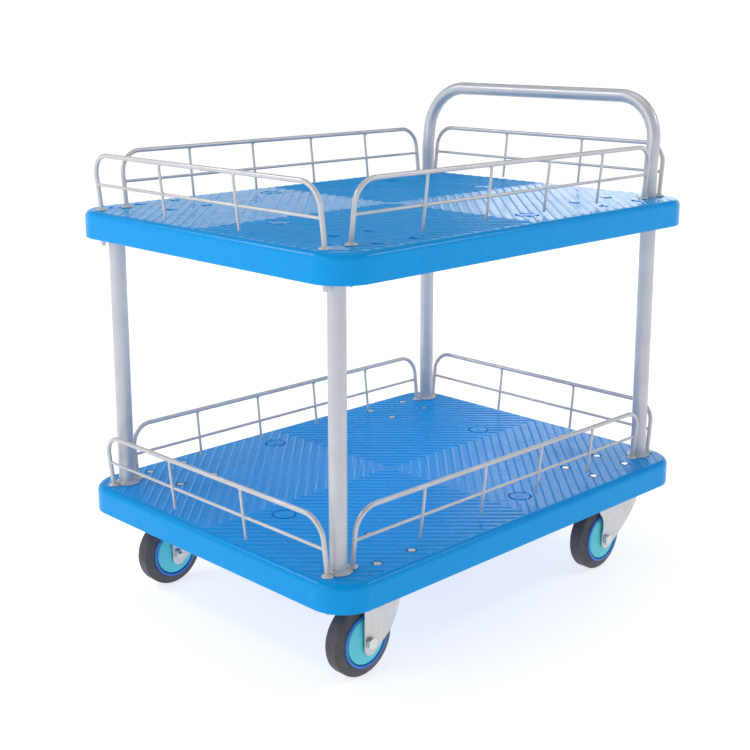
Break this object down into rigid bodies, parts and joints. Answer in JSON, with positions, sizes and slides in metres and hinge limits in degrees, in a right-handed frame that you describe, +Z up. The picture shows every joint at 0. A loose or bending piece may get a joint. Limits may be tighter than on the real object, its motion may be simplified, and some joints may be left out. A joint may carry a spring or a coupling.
{
  "type": "two-deck platform cart",
  "caption": "Two-deck platform cart with wire guard rails around both decks, a fixed U-shaped push handle, rigid casters at one end and swivel casters at the other.",
  "frame": {"origin": "on the floor, under the middle of the decks", "axes": "+Z up, +Y towards the push handle and the swivel casters, +X to the right when looking along +Y from the rigid-caster end"},
  "size_m": [0.688, 0.9, 0.9038],
  "materials": {
    "deck_plastic": "moulded blue plastic, satin",
    "powder_silver": "silver powder coat",
    "zinc_steel": "zinc plated",
    "bright_steel": "bright zinc",
    "tyre_rubber": "dark grey rubber",
    "rim_plastic": "blue moulded plastic",
    "cap_plastic": "turquoise moulded plastic"
  },
  "bodies": {
    "cart_frame": {"axle_bolt_front_left": "bright_steel", "axle_bolt_front_right": "bright_steel", "axle_nut_front_left": "bright_steel", "axle_nut_front_right": "bright_steel", "axle_sleeve_front_left": "zinc_steel", "axle_sleeve_front_right": "zinc_steel", "ball_race_rear_left": "zinc_steel", "ball_race_rear_right": "zinc_steel", "front_post_flange_left": "powder_silver", "front_post_flange_right": "powder_silver", "front_post_left": "powder_silver", "front_post_right": "powder_silver", "kingpin_rear_left": "bright_steel", "kingpin_rear_right": "bright_steel", "lower_deck": "deck_plastic", "lower_rail_front": "powder_silver", "lower_rail_left": "powder_silver", "lower_rail_rear": "powder_silver", "lower_rail_right": "powder_silver", "post_cap_left": "deck_plastic", "post_cap_right": "deck_plastic", "push_handle": "powder_silver", "rear_post_flange_left": "powder_silver", "rear_post_flange_right": "powder_silver", "rear_post_left": "powder_silver", "rear_post_right": "powder_silver", "rigid_bracket_front_left": "zinc_steel", "rigid_bracket_front_right": "zinc_steel", "swivel_plate_rear_left": "zinc_steel", "swivel_plate_rear_right": "zinc_steel", "upper_deck": "deck_plastic", "upper_rail_front": "powder_silver", "upper_rail_left": "powder_silver", "upper_rail_rear": "powder_silver", "upper_rail_right": "powder_silver"},
    "wheel_front_left": {"tyre_front_left": "tyre_rubber", "rim_front_left": "rim_plastic", "hub_cap_outer_front_left": "cap_plastic", "hub_cap_inner_front_left": "cap_plastic"},
    "wheel_front_right": {"tyre_front_right": "tyre_rubber", "rim_front_right": "rim_plastic", "hub_cap_outer_front_right": "cap_plastic", "hub_cap_inner_front_right": "cap_plastic"},
    "wheel_rear_left": {"tyre_rear_left": "tyre_rubber", "rim_rear_left": "rim_plastic", "hub_cap_outer_rear_left": "cap_plastic", "hub_cap_inner_rear_left": "cap_plastic"},
    "wheel_rear_right": {"tyre_rear_right": "tyre_rubber", "rim_rear_right": "rim_plastic", "hub_cap_outer_rear_right": "cap_plastic", "hub_cap_inner_rear_right": "cap_plastic"},
    "swivel_rear_left": {"swivel_fork_rear_left": "zinc_steel", "axle_sleeve_rear_left": "zinc_steel", "axle_bolt_rear_left": "bright_steel", "axle_nut_rear_left": "bright_steel"},
    "swivel_rear_right": {"swivel_fork_rear_right": "zinc_steel", "axle_sleeve_rear_right": "zinc_steel", "axle_bolt_rear_right": "bright_steel", "axle_nut_rear_right": "bright_steel"}
  },
  "joints": [
    {"name": "front_left_wheel_spin", "type": "hinge", "parent": "cart_frame", "child": "wheel_front_left", "pos_m": [-0.2548, -0.3305, 0.0625], "axis": [1, 0, 0], "continuous": true},
    {"name": "front_right_wheel_spin", "type": "hinge", "parent": "cart_frame", "child": "wheel_front_right", "pos_m": [0.2548, -0.3305, 0.0625], "axis": [1, 0, 0], "continuous": true},
    {"name": "rear_left_swivel", "type": "hinge", "parent": "cart_frame", "child": "swivel_rear_left", "pos_m": [-0.263, 0.3205, 0.145], "axis": [0, 0, 1], "continuous": true},
    {"name": "rear_left_wheel_spin", "type": "hinge", "parent": "swivel_rear_left", "child": "wheel_rear_left", "pos_m": [-0.263, 0.2925, 0.0625], "axis": [1, 0, 0], "continuous": true},
    {"name": "rear_right_swivel", "type": "hinge", "parent": "cart_frame", "child": "swivel_rear_right", "pos_m": [0.263, 0.3205, 0.145], "axis": [0, 0, 1], "continuous": true},
    {"name": "rear_right_wheel_spin", "type": "hinge", "parent": "swivel_rear_right", "child": "wheel_rear_right", "pos_m": [0.263, 0.2925, 0.0625], "axis": [1, 0, 0], "continuous": true}
  ]
}
